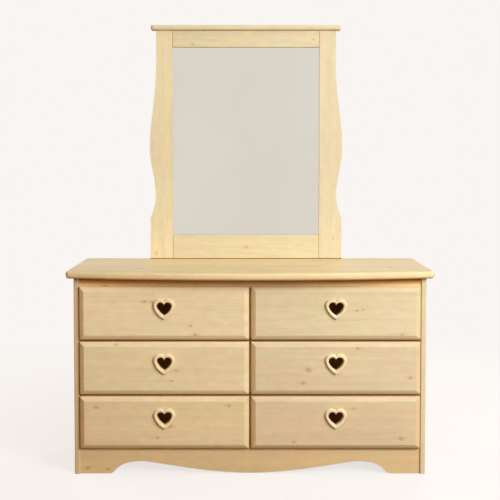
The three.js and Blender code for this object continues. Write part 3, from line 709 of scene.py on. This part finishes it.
def hardboard_material():
    """Brown hardboard with its pressed screen pattern and loose fibres."""
    material, graph = new_material("brown_hardboard")
    place = graph.place()
    pulp = graph.noise(place, PULP)
    cloud = graph.smooth(graph.noise(place, PULP_CLOUD), *PULP_CLOUD_RISE, 0.0, PULP_CLOUD_MOST)
    color = graph.mix(graph.smooth(pulp, *PULP_RISE), *PULP_COLORS)
    x, _, z = graph.split(graph.vector("MULTIPLY", place, SCREEN_PITCH))
    screen = graph.times(graph.math("SINE", x), graph.math("SINE", z))
    height = graph.plus(graph.times(screen, SCREEN_HEIGHT), pulp)
    graph.surface(graph.add("ShaderNodeBsdfPrincipled", {
        "Base Color": graph.mix(cloud, color, PULP_CLOUD_COLOR),
        "Roughness": graph.swing(pulp, *PULP_ROUGHNESS), "Normal": graph.bump(*PULP_BUMP, height),
    }))
    return material


def steel_material():
    """Zinc-plated steel, spangled and faintly brushed."""
    material, graph = new_material("zinc_plated_steel")
    place = graph.place()
    spangle = graph.noise(place, SPANGLE)
    graph.surface(graph.add("ShaderNodeBsdfPrincipled", {
        "Base Color": graph.mix(graph.smooth(spangle, *SPANGLE_RISE), *STEEL_COLORS),
        "Metallic": 1.0, "Roughness": graph.swing(spangle, *STEEL_ROUGHNESS),
        "Normal": graph.bump(*STEEL_BUMP, graph.noise(place, BRUSHING)),
    }))
    return material


def link(piece):
    bpy.context.scene.collection.objects.link(piece)


def ease(bm, edges, offset):
    bmesh.ops.bevel(bm, geom=edges, offset=offset, segments=ARRIS_SEGMENTS, profile=ARRIS_PROFILE,
                    affect="EDGES", clamp_overlap=True)


def ease_foot(bm):
    """Eases the front edge along which a board of the mirror's frame stands on the top."""
    seat = min(v.co.z for v in bm.verts) + WELD
    front = min(v.co.y for v in bm.verts) + WELD
    low = [e for e in bm.edges if all(v.co.z < seat and v.co.y < front for v in e.verts)]
    ease(bm, low, SEAT_ARRIS)


def bridge(bm, first, second):
    """Faces between two closed loops that have as many vertices."""
    for i in range(len(first)):
        j = (i + 1) % len(first)
        bm.faces.new((first[i], first[j], second[j], second[i]))


def finish_mesh(bm, name, material, body, arris=ARRIS):
    """A piece from bmesh, its sharp edges eased and its normals weighted by the faces."""
    if arris:
        sharp = [e for e in bm.edges if e.is_manifold and e.calc_face_angle(0.0) > EASED_ANGLE]
        ease(bm, sharp, arris)
    mesh = bpy.data.meshes.new(name)
    bm.to_mesh(mesh)
    bm.free()
    mesh.shade_smooth()
    mesh.set_sharp_from_angle(angle=SHARP_ANGLE)
    mesh.materials.append(material)
    piece = bpy.data.objects.new(name, mesh)
    link(piece)
    weighted = piece.modifiers.new("weighted", "WEIGHTED_NORMAL")
    weighted.keep_sharp = True
    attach(piece, body)
    return piece


def bored(bm, places):
    """A board from bmesh with screw holes sunk into its back face at each (x, z)."""
    back = max(v.co.y for v in bm.verts)
    drill = bmesh.new()
    for x, z in places:
        turn = Matrix.Translation((x, back, z)) @ Matrix.Rotation(-math.pi / 2, 4, "X")
        bmesh.ops.create_cone(
            drill, cap_ends=True, segments=SCREW_SIDES, radius1=SCREW_HOLE - SCREW_DEPTH,
            radius2=SCREW_HOLE + SCREW_DEPTH, depth=2 * SCREW_DEPTH, matrix=turn)
    solids = []
    for shape in (bm, drill):
        mesh = bpy.data.meshes.new("bored")
        shape.to_mesh(mesh)
        shape.free()
        solids.append(bpy.data.objects.new("bored", mesh))
        link(solids[-1])
    board, tool = solids
    cut = board.modifiers.new("bored", "BOOLEAN")
    cut.operation = "DIFFERENCE"
    cut.solver = "EXACT"
    cut.object = tool
    made = bmesh.new()
    made.from_object(board, bpy.context.evaluated_depsgraph_get())
    for solid in solids:
        bpy.data.objects.remove(solid)
    return made


def stand_for(piece, node):
    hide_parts(node)


def dress(node, material, arris=ARRIS, holes=()):
    """A copy of a node's solid with clean faces and eased edges, which stands for the node."""
    bm = bmesh.new()
    bm.from_mesh(NODES[node].data)
    bmesh.ops.remove_doubles(bm, verts=bm.verts, dist=WELD)
    bmesh.ops.dissolve_limit(bm, angle_limit=FLAT_ANGLE, verts=bm.verts, edges=bm.edges)
    bmesh.ops.recalc_face_normals(bm, faces=bm.faces)
    if node in SEATED:
        ease_foot(bm)
    if holes:
        bm = bored(bm, holes)
    stand_for(finish_mesh(bm, node + "_board", material, BODY_OF[node], arris), node)


def arc(x, z, radius, start, end, steps):
    angles = (start + (end - start) * i / steps for i in range(steps + 1))
    return [(x + radius * math.cos(a), z + radius * math.sin(a)) for a in angles]


def heart(share):
    """The heart's outline, from the notch down the right side to the point and up the left."""
    size = {key: HOLE[key] + (RIM[key] - HOLE[key]) * share for key in HOLE}
    notch = math.pi - math.acos(size["spread"] / size["radius"])
    lean = -size["lean"]
    lobe = arc(size["spread"], size["rise"], size["radius"], notch, lean, LOBE_STEPS)
    past = size["side"] - size["radius"]
    side_x = size["spread"] - past * math.cos(lean)
    side_z = size["rise"] - past * math.sin(lean)
    tip = -math.acos(-side_x / size["side"])
    side = arc(side_x, side_z, size["side"], lean, tip, SIDE_STEPS)
    right = lobe + side[1:]
    return right + [(-x, z) for x, z in reversed(right[1:-1])]


def heart_ring(node, material):
    """The rounded ring round a finger hole, with the sleeve that lines it, for its node."""
    low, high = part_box(node)
    body = BODY_OF[node]
    centre_x = (low.x + high.x) / 2
    centre_z = high.z - (RIM["rise"] + RIM["radius"])
    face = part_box(body + "_front")[0].y
    bead = face - low.y - RING_SHOULDER
    section = []
    for i in range(BEAD_STEPS + 1):
        angle = math.pi * i / BEAD_STEPS
        section.append(((1 - math.cos(angle)) / 2, face - RING_SHOULDER - bead * math.sin(angle)))
    section += [(1.0, face), (SLEEVE_SHARE, face), (SLEEVE_SHARE, high.y), (0.0, high.y)]
    bm = bmesh.new()
    rings = [[bm.verts.new((centre_x + x, y, centre_z + z)) for x, z in heart(share)]
             for share, y in section]
    for first, second in zip(rings, rings[1:] + rings[:1]):
        bridge(bm, first, second)
    bmesh.ops.recalc_face_normals(bm, faces=bm.faces)
    stand_for(finish_mesh(bm, node + "_ring", material, body, arris=0), node)


def facing(place, normal, spin=0.0):
    """Where a fastening sits on a surface, with the surface's normal as its third axis."""
    turn = normal.to_track_quat("Z", "Y").to_matrix().to_4x4()
    return Matrix.Translation(place) @ turn @ Matrix.Rotation(spin, 4, "Z")


def circle(radius, sides):
    angles = [2 * math.pi * i / sides for i in range(sides)]
    return [(radius * math.cos(a), radius * math.sin(a)) for a in angles]


def loop_at(bm, outline, seat, height, share=1.0):
    """An outline's vertices at a height over its seat, drawn in to a share of its size."""
    return [bm.verts.new(seat @ Vector((u * share, v * share, height))) for u, v in outline]


def tab(bm, outline, seat, height):
    """A small plate that stands a little proud of its seat, its upper edge rounded."""
    loops = [loop_at(bm, outline, seat, level * height, share) for share, level in TAB_LEVELS]
    for first, second in zip(loops, loops[1:]):
        bridge(bm, first, second)
    bm.faces.new(loops[-1])
    bm.faces.new(reversed(loops[0]))


def screw_head(bm, seat):
    """A countersunk head just under the surface, with a cross recess."""
    arm, half = SCREW_HEAD * CROSS_ARM, SCREW_HEAD * CROSS_HALF_WIDTH
    cross = []
    for turn in range(4):
        spin = Matrix.Rotation(turn * math.pi / 2, 2)
        cross += [spin @ Vector(point) for point in ((arm, -half), (arm, half), (half, half))]
    top = -SCREW_SINK
    brim = loop_at(bm, circle(SCREW_HEAD, SCREW_SIDES), seat, top)
    slot = loop_at(bm, cross, seat, top)
    neck = circle(SCREW_HEAD - SCREW_CHAMFER, SCREW_SIDES)
    bridge(bm, loop_at(bm, neck, seat, top - SCREW_CHAMFER), brim)
    bottom = loop_at(bm, cross, seat, top - CROSS_DEPTH, CROSS_TAPER)
    bridge(bm, slot, bottom)
    bm.faces.new(bottom)
    edges = [bm.edges.get((loop[i - 1], loop[i]))
             for loop in (brim, slot) for i in range(len(loop))]
    bmesh.ops.triangle_fill(bm, use_beauty=True, edges=edges)


def fastenings(name, body, material, build):
    bm = bmesh.new()
    build(bm, random.Random(name))
    bmesh.ops.recalc_face_normals(bm, faces=bm.faces)
    finish_mesh(bm, name, material, body, arris=0)


def screw_places(node):
    low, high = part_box(node)
    middle = (low.x + high.x) / 2
    return [(middle + (SCREW_ZIGZAG if i % 2 else -SCREW_ZIGZAG), z)
            for i, z in enumerate(SCREW_HEIGHTS)]


def fasten_supports(material):
    """Screws through the mirror's uprights."""
    def build(bm, pick):
        for node in ("mirror_support_left", "mirror_support_right"):
            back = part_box(node)[1].y
            for x, z in screw_places(node):
                screw_head(bm, facing((x, back, z), BACKWARDS, pick.uniform(0.0, math.pi)))
    fastenings("support_screws", "case", material, build)


def fasten_back(material):
    """Staples along the edges of the back panel and down its middle."""
    def build(bm, pick):
        low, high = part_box("back_panel")
        wide, tall = high.x - low.x, high.z - low.z
        rows, columns = round(tall / STAPLE_SPACING), round(wide / STAPLE_SPACING)
        upright = (low.x + STAPLE_INSET, (low.x + high.x) / 2, high.x - STAPLE_INSET)
        places = [(x, low.z + tall * (i + 0.5) / rows, math.pi / 2)
                  for x in upright for i in range(rows)]
        places += [(low.x + wide * (i + 0.5) / columns, high.z - STAPLE_INSET, 0.0)
                   for i in range(columns)]
        half, thick = STAPLE[0] / 2, STAPLE[1] / 2
        lower = [(-half, -thick / 2), (-half + thick, -thick), (half - thick, -thick),
                 (half, -thick / 2)]
        outline = lower + [(u, -v) for u, v in reversed(lower)]
        across, up, turn = STAPLE_STRAY
        for x, z, spin in places:
            x += pick.uniform(-across, across) * MM
            z += pick.uniform(-up, up) * MM
            seat = facing((x, high.y, z), BACKWARDS, spin + pick.uniform(-turn, turn))
            tab(bm, outline, seat, STAPLE_PROUD)
    fastenings("back_staples", "case", material, build)


def fasten_glass(material):
    """Glazing points round the mirror's backing board."""
    def build(bm, pick):
        low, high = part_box("mirror_backing")
        wide, deep = GLAZING_POINT[0] / 2, GLAZING_POINT[1]
        outline = [(u * wide, v * deep) for u, v in GLAZING_OUTLINE]
        heights = [low.z + (high.z - low.z) * share for share in GLAZING_SIDES]
        sides = [low.x + (high.x - low.x) * share for share in GLAZING_ENDS]
        places = [(low.x, z, -math.pi / 2) for z in heights]
        places += [(high.x, z, math.pi / 2) for z in heights]
        places += [(x, high.z, math.pi) for x in sides]
        places += [(x, low.z, 0.0) for x in sides]
        for x, z, spin in places:
            turn = -spin + pick.uniform(-GLAZING_STRAY, GLAZING_STRAY)
            tab(bm, outline, facing((x, high.y, z), BACKWARDS, turn), GLAZING_PROUD)
    fastenings("glazing_points", "case", material, build)


def fasten_drawer(body, material):
    """Nails through the drawer's sides into the edges of its back."""
    def build(bm, pick):
        low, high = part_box(body + "_back")
        for side, outward in (("_side_left", -1.0), ("_side_right", 1.0)):
            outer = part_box(body + side)
            x = outer[0].x if outward < 0 else outer[1].x
            for share in NAIL_HEIGHTS:
                z = low.z + (high.z - low.z) * share + pick.uniform(-NAIL_STRAY, NAIL_STRAY) * MM
                seat = facing((x, (low.y + high.y) / 2, z), Vector((outward, 0.0, 0.0)))
                tab(bm, circle(NAIL_HEAD, NAIL_SIDES), seat, NAIL_PROUD)
    fastenings(body + "_nails", body, material, build)


def dress_everything():
    for node in sorted(NODES):
        if node.endswith("heart_pull"):
            heart_ring(node, wood_for(node))
        elif node == "mirror_glass":
            dress(node, mirror_material(), arris=GLASS_ARRIS)
        elif node == "mirror_backing":
            dress(node, hardboard_material(), arris=BACKING_ARRIS)
        elif "support" in node:
            dress(node, wood_for(node), holes=screw_places(node))
        else:
            dress(node, wood_for(node))
    steel = steel_material()
    fasten_supports(steel)
    fasten_back(steel)
    fasten_glass(steel)
    for body in sorted(frame["bodies"]):
        if body.startswith("drawer"):
            fasten_drawer(body, steel)


def camera():
    data = bpy.data.cameras.new("camera")
    data.sensor_width = SENSOR_WIDTH
    data.lens = FOCAL_PIXELS / IMAGE_SIZE * SENSOR_WIDTH
    data.shift_x = (IMAGE_SIZE / 2 - PRINCIPAL_PIXEL[0]) / IMAGE_SIZE
    data.shift_y = (PRINCIPAL_PIXEL[1] - IMAGE_SIZE / 2) / IMAGE_SIZE
    made = bpy.data.objects.new("camera", data)
    case_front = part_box("side_panel_left")[0].y
    made.location = (CAMERA_SIDE, case_front - CAMERA_DISTANCE, CAMERA_HEIGHT)
    made.rotation_euler = (math.pi / 2 - CAMERA_TILT, 0.0, 0.0)
    link(made)
    bpy.context.scene.camera = made


def lamp(name, azimuth, elevation, distance, width, height, power, color):
    data = bpy.data.lights.new(name, "AREA")
    data.shape = "RECTANGLE"
    data.size = width
    data.size_y = height
    data.energy = power
    data.color = color
    made = bpy.data.objects.new(name, data)
    azimuth, elevation = math.radians(azimuth), math.radians(elevation)
    away = Vector((math.sin(azimuth) * math.cos(elevation),
                   -math.cos(azimuth) * math.cos(elevation), math.sin(elevation)))
    made.location = LIGHT_TARGET + away * distance
    made.rotation_euler = away.to_track_quat("Z", "Y").to_euler()
    made.visible_glossy = name == REFLECTED_LAMP
    link(made)


def world():
    """A plain backdrop, and faint warm light from the room."""
    made = bpy.data.worlds.new("studio")
    made.use_nodes = True
    made.node_tree.nodes.clear()
    bpy.context.scene.world = made
    graph = Graph(made.node_tree)
    room = graph.add("ShaderNodeBackground", {"Color": ROOM_LIGHT, "Strength": ROOM_STRENGTH})
    shown = graph.add("ShaderNodeBackground", {"Color": BACKDROP, "Strength": 1.0})
    graph.surface(graph.mix_shaders(graph.seen_directly(), room, shown), "ShaderNodeOutputWorld")


def floor():
    """A pale floor that fades into the backdrop, and shows the object's shadow near it."""
    mesh = bpy.data.meshes.new("floor")
    half = FLOOR_SIZE / 2
    corners = [(-half, -half), (half, -half), (half, half), (-half, half)]
    mesh.from_pydata([(x, y, -FLOOR_DROP) for x, y in corners], [], [(0, 1, 2, 3)])
    made = bpy.data.objects.new("floor", mesh)
    link(made)
    material, graph = new_material("floor")
    away = graph.vector("LENGTH", graph.place())
    near = graph.smooth(away, *FLOOR_SHADOW_FADE, FLOOR_SHADOW_SHARE, 0.0)
    matte = graph.add("ShaderNodeBsdfDiffuse", {"Color": BACKDROP})
    bounce = graph.add("ShaderNodeBsdfDiffuse", {"Color": FLOOR_BOUNCE})
    glow = graph.add("ShaderNodeEmission", {"Color": BACKDROP, "Strength": 1.0})
    shown = graph.mix_shaders(near, glow, matte)
    graph.surface(graph.mix_shaders(graph.seen_directly(), bounce, shown))
    mesh.materials.append(material)


camera()
world()
floor()
for each in LAMPS:
    lamp(*each)
dress_everything()

bpy.context.scene.view_settings.view_transform = "Standard"

bpy.context.view_layer.update()
